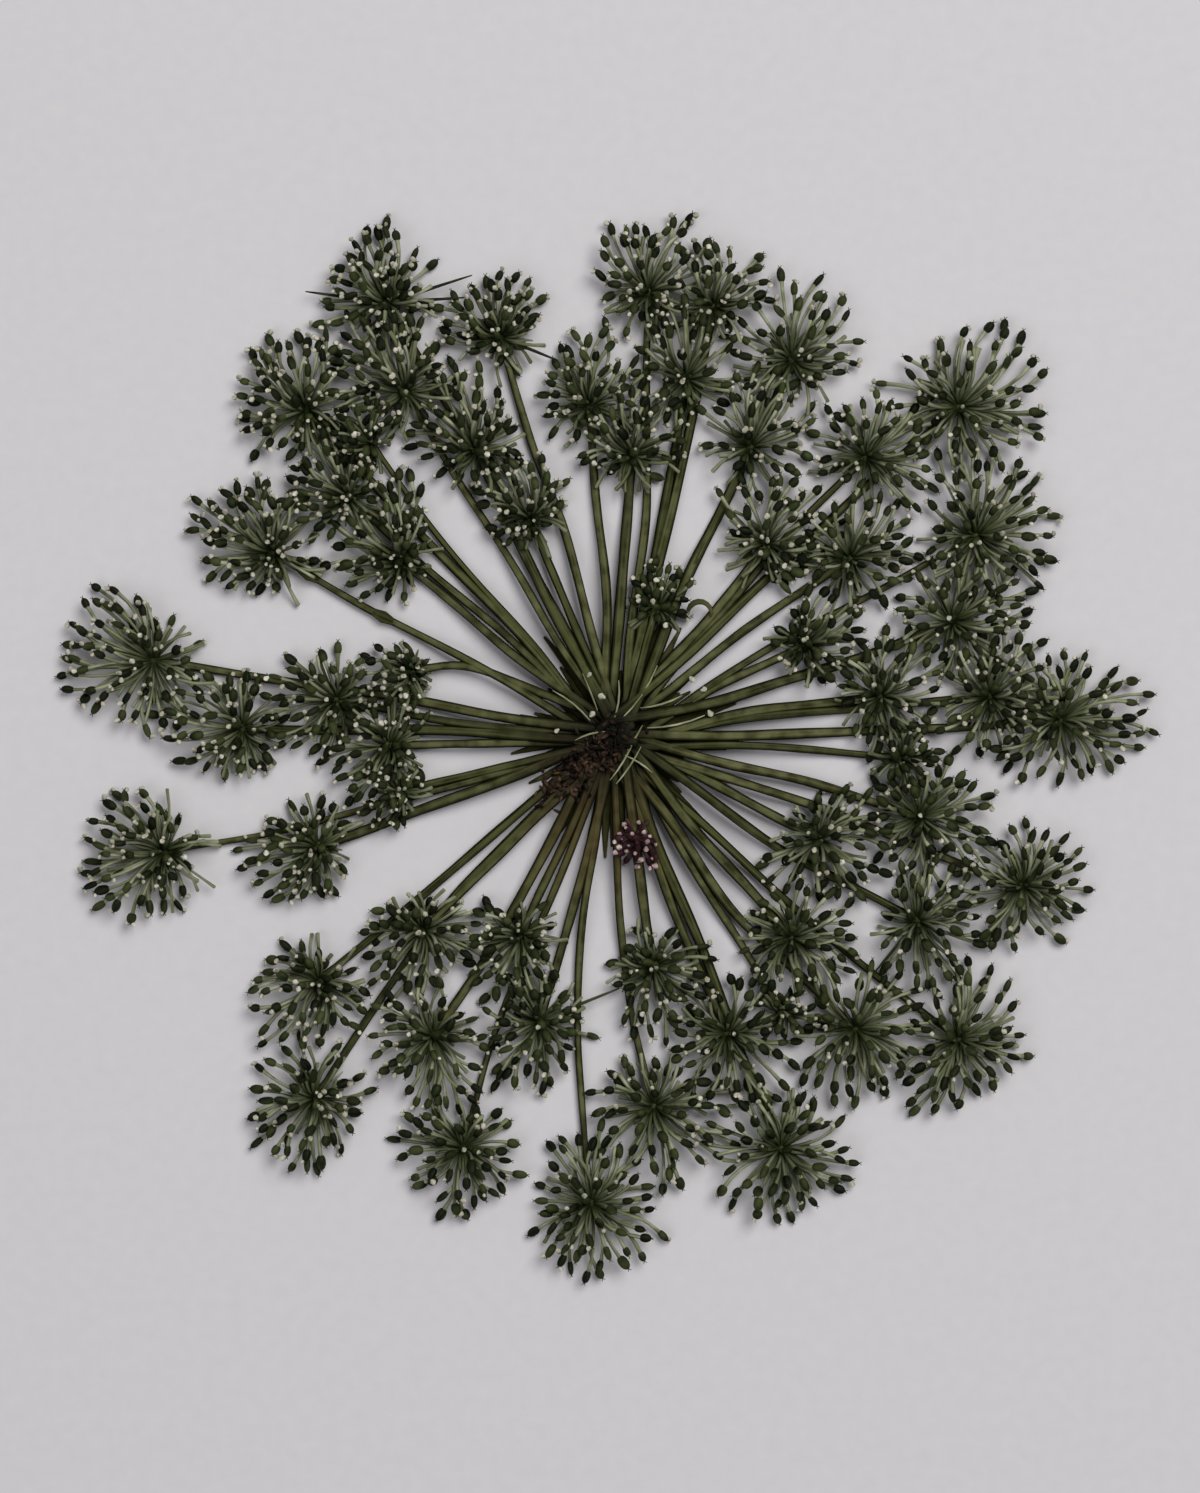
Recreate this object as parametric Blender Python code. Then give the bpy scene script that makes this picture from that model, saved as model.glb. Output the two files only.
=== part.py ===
"""A pressed head of Queen Anne's lace, lying face up.

Fifty-eight thin rays spread from one hub, and each carries an umbellet: a small core with florets
on short stalks all round it. The origin is the middle of the hub's flat cut underside, with +Z up
out of the face of the flower. Lengths in the tables are in millimetres, as read with a rule.
"""

import math
import random

import bmesh
import bpy
from mathutils import Matrix, Vector

MM = 0.001
SEED = 7
MERGE = 0.00001

# Heights above the surface that the head lies on
RAY_LEVEL = 0.45 * MM
RAY_TOP = 0.95 * MM
RAY_RADIUS = 0.35 * MM
RAY_RADIUS_AT_HUB = 0.27 * MM
GAP = 0.3 * MM
UMBELLET_LEVEL = RAY_TOP + GAP

# Hub: a low knob with the stem cut off flush beneath it
HUB_RADIUS = 2.5 * MM
HUB_HEIGHT = 2.1 * MM
HUB_SIDES = 12
HUB_OUTLINE = ((0.0, 0.0), (0.92, 0.0), (1.0, 0.3), (0.85, 0.75), (0.4, 1.0), (0.0, 1.0))
RAY_STARTS = (0.75 * MM, 1.5 * MM)
RAY_START_REACH = 1.2 * MM
RAY_LEVEL_STEPS = (0.0, 0.11 * MM, 0.04 * MM, 0.15 * MM, 0.07 * MM)
RAY_SETTLES = 8.0 * MM

# Umbellets: the core, with two rows of florets round it and a few on top
CORE_SHARE = 0.38
CORE_HEIGHT = 1.05 * MM
CROWN_HEIGHT = 0.3 * MM
SHOULDER_SHARE = 0.74
FLORETS_PER_MM = 1.95
PRESSED = 0.62
SIDE_CLEARANCE = 0.16 * MM
OVARY_RADIUS = 0.82 * MM
OVARY_SHARE = 0.36
REACHES = (0.94, 1.05)
WIDTHS = (0.9, 1.06)
CROWDED_RISE = 0.4
SHARES_LOOKED_AT = (0.4, 0.6, 0.8, 1.0)
FULL_SIZE_FROM = 3.8 * MM
TOP_SPACING = 3
LYING_SHARE = 0.25
LYING_TIP = 0.35 * MM

# Each row's reach as a share of the umbellet's radius, the height of its tips and its florets' size
RIM_ROW = (1.0, 1.0 * MM, 1.0)
UPPER_ROW = (0.72, 3.0 * MM, 0.8)
TOP_ROW = (0.3, 3.9 * MM, 0.72)

SPIKE_RADIUS = 0.36 * MM
SPIKE_DEPTH = 0.4 * MM
SPIKE_SIDES = 3

# Each umbellet's middle (x to the right, y up, as seen from above) and radius, and the points that
# its ray bends through on the way from the hub. They run anticlockwise from the right.
UMBELLETS = (
    (37.0, 1.3, 6.2, ((19.0, 0.1),)),
    (22.4, 3.3, 4.4, ((10.0, 1.7),)),
    (31.2, 3.2, 4.9, ((18.0, 2.2),)),
    (28.3, 9.6, 5.1, ((18.0, 5.6),)),
    (16.3, 7.7, 3.8, ()),
    (30.3, 16.8, 5.6, ((17.0, 9.4),)),
    (20.0, 15.0, 4.6, ((9.0, 7.3),)),
    (29.0, 27.6, 6.0, ((12.5, 13.2),)),
    (21.2, 23.4, 5.0, ((12.3, 14.4),)),
    (13.1, 16.4, 4.4, ()),
    (11.6, 24.6, 4.6, ((8.0, 17.0),)),
    (15.0, 31.8, 5.1, ()),
    (3.7, 11.2, 3.0, ()),
    (6.0, 30.3, 4.5, ((3.4, 14.0),)),
    (8.2, 36.0, 4.0, ((5.0, 19.0),)),
    (2.7, 37.6, 4.9, ((2.5, 18.0),)),
    (1.4, 24.2, 4.4, ()),
    (-2.2, 28.2, 4.6, ((-1.0, 14.0),)),
    (-9.8, 33.8, 4.3, ((-4.5, 18.0), (-6.0, 21.5))),
    (-7.3, 18.7, 3.8, ()),
    (-12.0, 24.6, 4.5, ()),
    (-18.0, 29.5, 4.8, ()),
    (-19.4, 36.6, 4.5, ((-9.5, 19.5),)),
    (-26.3, 27.8, 4.7, ((-14.0, 14.5),)),
    (-20.4, 24.6, 2.9, ((-15.0, 17.0),)),
    (-22.7, 20.3, 4.0, ()),
    (-18.8, 15.3, 4.8, ()),
    (-29.4, 15.9, 5.1, ((-12.0, 6.2), (-20.0, 10.0))),
    (-17.4, 4.8, 2.9, ((-12.5, 6.2),)),
    (-39.6, 6.4, 5.7, ((-15.0, 2.5), (-28.0, 4.7))),
    (-24.0, 3.2, 4.1, ((-14.0, 1.2),)),
    (-31.8, 0.6, 4.6, ()),
    (-19.5, -0.9, 4.2, ()),
    (-18.3, -4.8, 2.9, ()),
    (-38.4, -9.7, 5.6, ((-18.0, -5.6), (-29.0, -8.1))),
    (-25.5, -9.5, 4.8, ((-18.8, -7.3),)),
    (-24.9, -20.7, 4.6, ((-15.0, -12.3),)),
    (-16.3, -16.6, 4.4, ()),
    (-24.9, -30.4, 5.1, ((-13.0, -12.6), (-18.3, -20.5))),
    (-15.3, -25.2, 4.7, ((-10.5, -18.0),)),
    (-12.5, -34.3, 5.0, ((-10.0, -25.0),)),
    (-8.1, -17.2, 4.2, ()),
    (-6.5, -24.0, 4.5, ((-4.7, -19.0),)),
    (-1.8, -38.7, 5.7, ((-2.3, -12.0), (-3.2, -25.0))),
    (3.4, -30.8, 5.3, ((0.4, -13.0), (1.3, -23.0))),
    (3.3, -19.6, 4.4, ()),
    (9.4, -24.8, 4.7, ((5.0, -14.5),)),
    (13.7, -34.0, 5.7, ((6.2, -15.5),)),
    (13.6, -22.6, 2.4, ()),
    (14.8, -17.0, 4.7, ()),
    (20.0, -24.2, 5.3, ((9.8, -14.6),)),
    (28.2, -24.9, 5.4, ((12.5, -12.5),)),
    (25.1, -15.3, 4.7, ((13.5, -9.2),)),
    (17.3, -8.7, 4.7, ()),
    (33.5, -12.4, 5.2, ((15.0, -5.4),)),
    (25.4, -6.8, 4.7, ((15.5, -3.8),)),
    (23.6, -1.9, 2.9, ()),
)
CENTRAL = (1.8, -8.8, 2.0, ())
EVERY = (*UMBELLETS, CENTRAL)

# Bracteoles: the umbellet's place in the table, the way the spike points (degrees) and its reach
SPIKES = ((22, -2, 5.8), (22, 179, 6.4), (18, -22, 5.0), (42, 22, 7.0), (52, -130, 5.4))


def clear_scene():
    for obj in list(bpy.data.objects):
        bpy.data.objects.remove(obj, do_unlink=True)


def new_collection(name):
    collection = bpy.data.collections.new(name)
    bpy.context.scene.collection.children.link(collection)
    return collection


def material(name, colour, roughness):
    made = bpy.data.materials.new(name)
    made.use_nodes = True
    shader = made.node_tree.nodes["Principled BSDF"]
    shader.inputs["Base Color"].default_value = (*colour, 1.0)
    shader.inputs["Roughness"].default_value = roughness
    shader.inputs["Metallic"].default_value = 0.0
    return made


def turned(name, profile, sides, collection):
    """A solid turned about Z from a profile of (radius, height) pairs that starts and ends on Z."""
    bm = bmesh.new()
    points = [bm.verts.new((radius, 0.0, height)) for radius, height in profile]
    edges = [bm.edges.new(pair) for pair in zip(points, points[1:])]
    bmesh.ops.spin(
        bm, geom=[*points, *edges], axis=(0, 0, 1), cent=(0, 0, 0), angle=math.tau, steps=sides
    )
    bmesh.ops.remove_doubles(bm, verts=bm.verts[:], dist=MERGE)
    bmesh.ops.recalc_face_normals(bm, faces=bm.faces[:])
    mesh = bpy.data.meshes.new(name)
    bm.to_mesh(mesh)
    bm.free()
    obj = bpy.data.objects.new(name, mesh)
    collection.objects.link(obj)
    return obj


def tube(name, points, radii, collection):
    """A four-sided tube along a poly line, as a closed mesh."""
    curve = bpy.data.curves.new(name, "CURVE")
    curve.dimensions = "3D"
    curve.twist_mode = "Z_UP"
    curve.bevel_depth = 1.0
    curve.bevel_resolution = 0
    curve.use_fill_caps = True
    spline = curve.splines.new("POLY")
    spline.points.add(len(points) - 1)
    for knot, place, radius in zip(spline.points, points, radii):
        knot.co = (*place, 1.0)
        knot.radius = radius
    guide = bpy.data.objects.new(name, curve)
    collection.objects.link(guide)
    graph = bpy.context.evaluated_depsgraph_get()
    mesh = bpy.data.meshes.new_from_object(guide.evaluated_get(graph))
    bpy.data.objects.remove(guide, do_unlink=True)
    bm = bmesh.new()
    bm.from_mesh(mesh)
    bmesh.ops.remove_doubles(bm, verts=bm.verts[:], dist=MERGE)
    bmesh.ops.recalc_face_normals(bm, faces=bm.faces[:])
    bm.to_mesh(mesh)
    bm.free()
    obj = bpy.data.objects.new(name, mesh)
    collection.objects.link(obj)
    return obj


def fuse(base, pieces):
    """Joins every object of a collection to the base in one union, then removes them."""
    union = base.modifiers.new("grown together", "BOOLEAN")
    union.operation = "UNION"
    union.operand_type = "COLLECTION"
    union.collection = pieces
    union.solver = "EXACT"
    graph = bpy.context.evaluated_depsgraph_get()
    joined = bpy.data.meshes.new_from_object(base.evaluated_get(graph))
    base.modifiers.clear()
    base.data = joined
    for obj in list(pieces.objects):
        bpy.data.objects.remove(obj, do_unlink=True)
    bpy.data.collections.remove(pieces)


def middle(umbellet):
    return Vector(umbellet[:2]) * MM


def ray_points(umbellet, start_height, level):
    """The ray's line: out of the hub, down to the surface, through its bends, under the core."""
    through = [Vector(bend) * MM for bend in umbellet[3]] + [middle(umbellet)]
    outward = through[0].normalized()
    first = outward * RAY_START_REACH
    settled = outward * RAY_SETTLES
    line = [Vector((*first, start_height)), Vector((*settled, level))]
    for place in through:
        if place.length > RAY_SETTLES + MM or place == through[-1]:
            line.append(Vector((*place, level)))
    return line


def ray_lines():
    """Every umbellet's ray, with rays that are neighbours at the hub starting at unlike heights."""

    def bearing(index):
        aim = EVERY[index][3][0] if EVERY[index][3] else EVERY[index][:2]
        return math.atan2(aim[1], aim[0])

    lines = [None] * len(EVERY)
    for order, index in enumerate(sorted(range(len(EVERY)), key=bearing)):
        start = RAY_STARTS[order % len(RAY_STARTS)]
        level = RAY_LEVEL + RAY_LEVEL_STEPS[order % len(RAY_LEVEL_STEPS)]
        lines[index] = ray_points(EVERY[index], start, level)
    return lines


def hub_and_rays(lines, finish, collection):
    profile = [(across * HUB_RADIUS, up * HUB_HEIGHT) for across, up in HUB_OUTLINE]
    hub = turned("hub_and_rays", profile, HUB_SIDES, collection)
    pieces = new_collection("rays")
    for index, line in enumerate(lines):
        radii = [RAY_RADIUS_AT_HUB] + [RAY_RADIUS] * (len(line) - 1)
        tube(f"ray_{index}", line, radii, pieces)
    fuse(hub, pieces)
    hub.data.materials.clear()
    hub.data.materials.append(finish)
    return hub


def distance_to(place, line):
    """How far a place is from a line, seen from above."""
    least = math.inf
    for first, second in zip(line, line[1:]):
        along = (second - first).xy
        if along.length < MERGE:
            continue
        share = (place - first.xy).dot(along) / along.length_squared
        near = first.xy + along * min(max(share, 0.0), 1.0)
        least = min(least, (place - near).length)
    return least


def borders(index):
    """Upright planes between an umbellet and its neighbours, as (direction, distance) from it."""
    here = middle(EVERY[index])
    planes = []
    for other, umbellet in enumerate(EVERY):
        apart = middle(umbellet) - here
        if other == index or apart.length > (EVERY[index][2] + umbellet[2]) * MM:
            continue
        share = EVERY[index][2] / (EVERY[index][2] + umbellet[2])
        planes.append((apart.normalized(), apart.length * share))
    return planes


def free_reach(direction, reach, width, planes):
    """How far something this wide may go from the umbellet's middle towards its neighbours."""
    for facing, distance in planes:
        towards = direction.dot(facing)
        if towards > 0.0:
            reach = min(reach, (distance - width - SIDE_CLEARANCE) / towards)
    return reach


def clear_height(root, tip, thickness, width, lines):
    """The lowest height for a tip at which what runs from root to tip passes over every ray, or
    zero where no ray lies under it."""
    height = 0.0
    for share in SHARES_LOOKED_AT:
        place = root.lerp(tip, share)
        if min(distance_to(place.xy, line) for line in lines) < RAY_RADIUS + GAP + width:
            over = UMBELLET_LEVEL + thickness
            height = max(height, (over - root.z * (1.0 - share)) / share)
    return height


def core(bm, radius, count):
    """A low core with two rows of three-cornered faces round it, and the same on top, by row."""
    shoulder = radius * SHOULDER_SHARE

    def corner(step, reach, height):
        angle = math.tau * step / count
        return bm.verts.new((reach * math.cos(angle), reach * math.sin(angle), height))

    low = [corner(step - 0.5, radius, 0.0) for step in range(count)]
    high = [corner(step, shoulder, CORE_HEIGHT) for step in range(count)]
    crown = bm.verts.new((0.0, 0.0, CORE_HEIGHT + CROWN_HEIGHT))
    bm.faces.new(reversed(low))
    rows = ([], [], [])
    for step in range(count):
        after = (step + 1) % count
        rows[0].append(bm.faces.new((low[step], low[after], high[step])))
        rows[1].append(bm.faces.new((low[after], high[after], high[step])))
        rows[2].append(bm.faces.new((high[step], high[after], crown)))
    return rows


def grow_floret(bm, face, ovary, tip, width):
    """Draws a face of the core out into a stalk, swells it into an ovary and ends it in a point.
    An ovary that lies on the surface is pressed flat there."""
    root = face.calc_center_median()
    along = (ovary - root).normalized()
    grown = bmesh.ops.extrude_discrete_faces(bm, faces=[face])["faces"][0]
    for corner in grown.verts:
        aside = corner.co - root
        aside = (aside - along * aside.dot(along)).normalized() * width
        corner.co = ovary + Vector((aside.x, aside.y, aside.z * PRESSED))
        corner.co.z = max(corner.co.z, -UMBELLET_LEVEL)
    bmesh.ops.poke(bm, faces=[grown])["verts"][0].co = tip


def row_of_florets(bm, faces, row, radius, centre, planes, lines, draw):
    """One floret on each face, kept clear of the neighbours' sides and of the rays below. Those of
    the rim with neither beside nor below them lie on the surface, and so the head rests on them."""
    share, height, size = row
    reach = share * radius
    for face in faces:
        root = face.calc_center_median()
        direction = root.xy.normalized()
        wanted = reach * draw.uniform(*REACHES)
        crowding = min(1.0, free_reach(direction, wanted, 0.0, planes) / wanted)
        small = min(1.0, radius / FULL_SIZE_FROM)
        width = OVARY_RADIUS * size * small * crowding * draw.uniform(*WIDTHS)
        ovary_reach = free_reach(direction, wanted, width, planes)
        tip_reach = free_reach(direction, wanted, 0.0, planes)
        rise = height + CROWDED_RISE * (wanted - tip_reach)
        start = Vector((*(centre + root.xy), UMBELLET_LEVEL + root.z))
        end = Vector((*(centre + direction * tip_reach), rise))
        over_rays = clear_height(start, end, width * PRESSED, width, lines)
        end.z = max(rise, over_rays)
        ovary = start.lerp(end, 1.0 - OVARY_SHARE)
        if row is RIM_ROW and not over_rays and tip_reach >= wanted:
            ovary.z = LYING_SHARE * width * PRESSED
            end.z = LYING_TIP
        ovary_reach = min(ovary_reach, (ovary.xy - centre).length)
        ovary = Vector((*(centre + direction * ovary_reach), ovary.z))
        base = Vector((*centre, UMBELLET_LEVEL))
        grow_floret(bm, face, ovary - base, end - base, width)


def umbellet(index, name, lines, finish, collection):
    centre = middle(EVERY[index])
    radius = EVERY[index][2] * MM
    draw = random.Random(SEED + index)
    planes = borders(index)
    bm = bmesh.new()
    count = round(FLORETS_PER_MM * radius / MM)
    rim, upper, top = core(bm, CORE_SHARE * radius, count)
    bmesh.ops.rotate(
        bm, verts=bm.verts[:], cent=(0, 0, 0), matrix=Matrix.Rotation(draw.uniform(0, 1), 3, "Z")
    )
    for faces, row in ((rim, RIM_ROW), (upper, UPPER_ROW), (top[::TOP_SPACING], TOP_ROW)):
        row_of_florets(bm, faces, row, radius, centre, planes, lines, draw)
    bmesh.ops.recalc_face_normals(bm, faces=bm.faces[:])
    mesh = bpy.data.meshes.new(name)
    bm.to_mesh(mesh)
    bm.free()
    body = bpy.data.objects.new(name, mesh)
    collection.objects.link(body)
    body.matrix_world = Matrix.Translation((*centre, UMBELLET_LEVEL))
    spikes = [spike for spike in SPIKES if spike[0] == index]
    if spikes:
        pieces = new_collection(f"{name} spikes")
        for _, degrees, length in spikes:
            add_spike(centre, CORE_SHARE * radius, degrees, length * MM, lines, pieces)
        fuse(body, pieces)
    body.data.materials.clear()
    body.data.materials.append(finish)
    return body


def add_spike(centre, core_radius, degrees, length, lines, pieces):
    """A bracteole: one thin blade that points out from under the umbellet."""
    angle = math.radians(degrees)
    direction = Vector((math.cos(angle), math.sin(angle)))
    height = UMBELLET_LEVEL + SPIKE_RADIUS
    root = Vector((*(centre + direction * (core_radius - SPIKE_DEPTH)), height))
    tip = Vector((*(centre + direction * length), 0.0))
    tip.z = max(UMBELLET_LEVEL, clear_height(root, tip, SPIKE_RADIUS, SPIKE_RADIUS, lines))
    profile = ((0.0, 0.0), (SPIKE_RADIUS, 0.0), (0.0, (tip - root).length))
    blade = turned(f"spike_{len(pieces.objects)}", profile, SPIKE_SIDES, pieces)
    turn = (tip - root).to_track_quat("Z", "Y").to_matrix().to_4x4()
    blade.matrix_world = Matrix.Translation(root) @ turn


def main():
    clear_scene()
    collection = new_collection("queen_annes_lace_flower")
    stem_green = material("dried_stem", (0.12, 0.13, 0.075), 0.7)
    seed_green = material("dried_florets", (0.045, 0.055, 0.03), 0.65)
    purple = material("purple_florets", (0.07, 0.03, 0.045), 0.65)
    head = bpy.data.objects.new("head", None)
    collection.objects.link(head)
    lines = ray_lines()
    made = [hub_and_rays(lines, stem_green, collection)]
    for index in range(len(UMBELLETS)):
        made.append(umbellet(index, f"umbellet_{index + 1:02d}", lines, seed_green, collection))
    made.append(umbellet(len(UMBELLETS), "central_umbellet", lines, purple, collection))
    for obj in made:
        obj.parent = head


main()
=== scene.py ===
"""The looks of a pressed head of Queen Anne's lace, lying face up on a pale floor.

Fifty-eight grooved rays cross over one another at the hub. Each ends in an umbellet: a knob with fine
stalks, and on each stalk a dark ribbed ovary with two styles and what is left of its petals.
"""

import math
import random

import bpy
import numpy as np
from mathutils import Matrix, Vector


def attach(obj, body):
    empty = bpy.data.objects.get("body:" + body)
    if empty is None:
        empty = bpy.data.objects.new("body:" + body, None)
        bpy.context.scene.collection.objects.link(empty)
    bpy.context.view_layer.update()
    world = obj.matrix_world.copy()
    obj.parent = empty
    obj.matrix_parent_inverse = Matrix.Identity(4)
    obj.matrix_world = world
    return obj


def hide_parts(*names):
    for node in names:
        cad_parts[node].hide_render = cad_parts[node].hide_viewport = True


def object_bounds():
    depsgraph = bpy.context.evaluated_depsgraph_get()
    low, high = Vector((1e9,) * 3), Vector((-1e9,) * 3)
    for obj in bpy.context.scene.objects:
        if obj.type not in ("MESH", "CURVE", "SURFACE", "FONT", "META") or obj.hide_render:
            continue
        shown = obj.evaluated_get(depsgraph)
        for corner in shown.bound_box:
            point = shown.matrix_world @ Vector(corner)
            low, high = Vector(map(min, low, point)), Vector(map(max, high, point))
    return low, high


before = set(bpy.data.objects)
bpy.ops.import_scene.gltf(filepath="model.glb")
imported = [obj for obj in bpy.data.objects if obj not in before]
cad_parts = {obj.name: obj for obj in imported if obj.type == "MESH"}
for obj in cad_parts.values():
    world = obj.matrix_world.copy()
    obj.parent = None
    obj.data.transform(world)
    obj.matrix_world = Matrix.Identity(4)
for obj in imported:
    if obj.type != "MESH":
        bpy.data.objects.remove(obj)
cad_low, cad_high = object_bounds()

MM = 0.001
SEED = 11
UP = np.array((0.0, 0.0, 1.0))
SURFACE = 0.01 * MM

# Each umbellet's middle (x to the right, y up, as seen from above) and radius in millimetres, and the
# points that its ray bends through. They run anticlockwise from the right, as the nodes do.
UMBELLETS = (
    (37.0, 1.3, 6.2, ((19.0, 0.1),)),
    (22.4, 3.3, 4.4, ((10.0, 1.7),)),
    (31.2, 3.2, 4.9, ((18.0, 2.2),)),
    (28.3, 9.6, 5.1, ((18.0, 5.6),)),
    (16.3, 7.7, 3.8, ()),
    (30.3, 16.8, 5.6, ((17.0, 9.4),)),
    (20.0, 15.0, 4.6, ((9.0, 7.3),)),
    (29.0, 27.6, 6.0, ((12.5, 13.2),)),
    (21.2, 23.4, 5.0, ((12.3, 14.4),)),
    (13.1, 16.4, 4.4, ()),
    (11.6, 24.6, 4.6, ((8.0, 17.0),)),
    (15.0, 31.8, 5.1, ()),
    (3.7, 11.2, 3.0, ()),
    (6.0, 30.3, 4.5, ((3.4, 14.0),)),
    (8.2, 36.0, 4.0, ((5.0, 19.0),)),
    (2.7, 37.6, 4.9, ((2.5, 18.0),)),
    (1.4, 24.2, 4.4, ()),
    (-2.2, 28.2, 4.6, ((-1.0, 14.0),)),
    (-9.8, 33.8, 4.3, ((-4.5, 18.0), (-6.0, 21.5))),
    (-7.3, 18.7, 3.8, ()),
    (-12.0, 24.6, 4.5, ()),
    (-18.0, 29.5, 4.8, ()),
    (-19.4, 36.6, 4.5, ((-9.5, 19.5),)),
    (-26.3, 27.8, 4.7, ((-14.0, 14.5),)),
    (-20.4, 24.6, 2.9, ((-15.0, 17.0),)),
    (-22.7, 20.3, 4.0, ()),
    (-18.8, 15.3, 4.8, ()),
    (-29.4, 15.9, 5.1, ((-12.0, 6.2), (-20.0, 10.0))),
    (-17.4, 4.8, 2.9, ((-12.5, 6.2),)),
    (-39.6, 6.4, 5.7, ((-15.0, 2.5), (-28.0, 4.7))),
    (-24.0, 3.2, 4.1, ((-14.0, 1.2),)),
    (-31.8, 0.6, 4.6, ()),
    (-19.5, -0.9, 4.2, ()),
    (-18.3, -4.8, 2.9, ()),
    (-38.4, -9.7, 5.6, ((-18.0, -5.6), (-29.0, -8.1))),
    (-25.5, -9.5, 4.8, ((-18.8, -7.3),)),
    (-24.9, -20.7, 4.6, ((-15.0, -12.3),)),
    (-16.3, -16.6, 4.4, ()),
    (-24.9, -30.4, 5.1, ((-13.0, -12.6), (-18.3, -20.5))),
    (-15.3, -25.2, 4.7, ((-10.5, -18.0),)),
    (-12.5, -34.3, 5.0, ((-10.0, -25.0),)),
    (-8.1, -17.2, 4.2, ()),
    (-6.5, -24.0, 4.5, ((-4.7, -19.0),)),
    (-1.8, -38.7, 5.7, ((-2.3, -12.0), (-3.2, -25.0))),
    (3.4, -30.8, 5.3, ((0.4, -13.0), (1.3, -23.0))),
    (3.3, -19.6, 4.4, ()),
    (9.4, -24.8, 4.7, ((5.0, -14.5),)),
    (13.7, -34.0, 5.7, ((6.2, -15.5),)),
    (13.6, -22.6, 2.4, ()),
    (14.8, -17.0, 4.7, ()),
    (20.0, -24.2, 5.3, ((9.8, -14.6),)),
    (28.2, -24.9, 5.4, ((12.5, -12.5),)),
    (25.1, -15.3, 4.7, ((13.5, -9.2),)),
    (17.3, -8.7, 4.7, ()),
    (33.5, -12.4, 5.2, ((15.0, -5.4),)),
    (25.4, -6.8, 4.7, ((15.5, -3.8),)),
    (23.6, -1.9, 2.9, ()),
)
CENTRAL = (1.8, -8.8, 2.0, ())
EVERY = (*UMBELLETS, CENTRAL)

# An umbellet that lies this many millimetres further up than right counts fully as upper left
UPPER_LEFT_REACH = 60.0

# The order of the finishes on the piece of rays and hub, and on each umbellet
RAY_SKIN, TUFT_SKIN, PETAL_SKIN, THREAD_SKIN, BRACT_SKIN = range(5)
STALK_SKIN, OVARY_SKIN = 0, 1

# Rays
RAY_LEVEL = 0.42 * MM
RAY_LEVEL_STEPS = (0.0, 0.11 * MM, 0.04 * MM, 0.15 * MM, 0.07 * MM)
RAY_SETTLES = 9.0 * MM
RAY_NEAR_CORNER = 0.75
RAY_ENDS_WITHIN = 1.6 * MM
RAY_END_BELOW = 0.1 * MM
RAY_STEP = 0.85 * MM
RAY_FEWEST_STEPS = 8
RAY_SMOOTHINGS = 10
RAY_WAVE = 0.16 * MM
RAY_WAVE_PACES = (0.15, 0.33)
RAY_ARCH = 0.85 * MM
RAY_ARCH_REACH = 18.0 * MM
RAY_ARCH_ENDS = 4.0 * MM
RAY_RADII = (0.26 * MM, 0.38 * MM)
RAY_PROFILE_AT = (0.0, 9.0 * MM, 32.0 * MM)
RAY_PROFILE = (1.02, 1.05, 0.8)
RAY_UNEVEN = 0.05
RAY_UNEVEN_PACE = 23.0
RAY_SWELLS = (1.25, 1.5)
SMALL_UMBELLET = 3.1
SMALL_RAY = 0.82
RAY_PRESSED = 0.9
RAY_SIDES = 18
RAY_GROOVES = 6
RAY_GROOVE_DEPTH = 0.17
RAY_TURN = 0.3

# How high the rays' upper sides are at these distances from the middle
TOPS_AT = (0.0, 10.0 * MM, 18.0 * MM)
TOPS = (2.05 * MM, 1.75 * MM, 0.95 * MM)

# Small swellings on one ray: its umbellet's place in the list above and where on it they are
KNOTS = ((27, -18.6, 9.4), (27, -24.6, 12.2))
KNOT_WIDTHS = (0.3, 0.5, 0.32)
KNOT_SIDES = 10

# Hub, and the bracts, tuft and curl on it and round it
HUB_RADIUS = 2.35 * MM
HUB_HEIGHT = 1.2 * MM
HUB_SIDES = 40
HUB_OUTLINE = ((0.9, 0.0), (1.0, 0.12), (0.97, 0.4), (0.8, 0.72), (0.48, 0.94), (0.2, 1.0))
HUB_LOBES = 9
HUB_LOBE_DEPTH = 0.06
HUB_TWIST = 5
HUB_HEIGHTS = (0.5 * MM, 1.75 * MM)
HUB_OVERSHOOT = (0.1 * MM, 1.9 * MM)
HUB_ASIDE = 1.3 * MM
# The bracts are real lobes under the rays, and they also fill the gaps between the rays near the hub with
# dark, as painted shade.
BRACTS = 64
BRACT_TURN = 0.4
BRACT_ROOT = (1.2 * MM, 0.45 * MM)
BRACT_REACH = (4.5 * MM, 10.5 * MM)
BRACT_LEVEL = 0.14 * MM
BRACT_BOW = 0.5
BRACT_WIDTHS = (0.5, 0.55, 0.48, 0.38, 0.26, 0.1)
BRACT_SIDES = 6
BRACT_PRESSED = 0.2
TUFT_FROM = (0.4 * MM, 0.3 * MM)
TUFT_TO = (-5.2 * MM, -4.9 * MM)
TUFT_SPREAD = 0.8 * MM
TUFT_LEVELS = (-0.45, 0.15)
TUFT_SCALES = 330
SCALE_LEANS = (-0.2, 0.5)
SCALE_LENGTHS = (0.3, 0.75)
SCALE_SIZES = (0.8, 1.4)
SCALE_WIDTHS = (0.07, 0.14, 0.13, 0.05)
SCALE_SIDES = 5
SCALE_PRESSED = 0.7
CURL_MIDDLE = (6.8 * MM, 9.8 * MM)
CURL_REACH = 0.95 * MM
CURL_LIFT = 0.1 * MM
CURL_TURN = (math.radians(185), math.radians(-15))
CURL_WIDTHS = (0.08, 0.16, 0.22, 0.24, 0.24, 0.22, 0.2, 0.18, 0.14, 0.08)
CURL_SIDES = 8
CURL_PRESSED = 0.6

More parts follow.
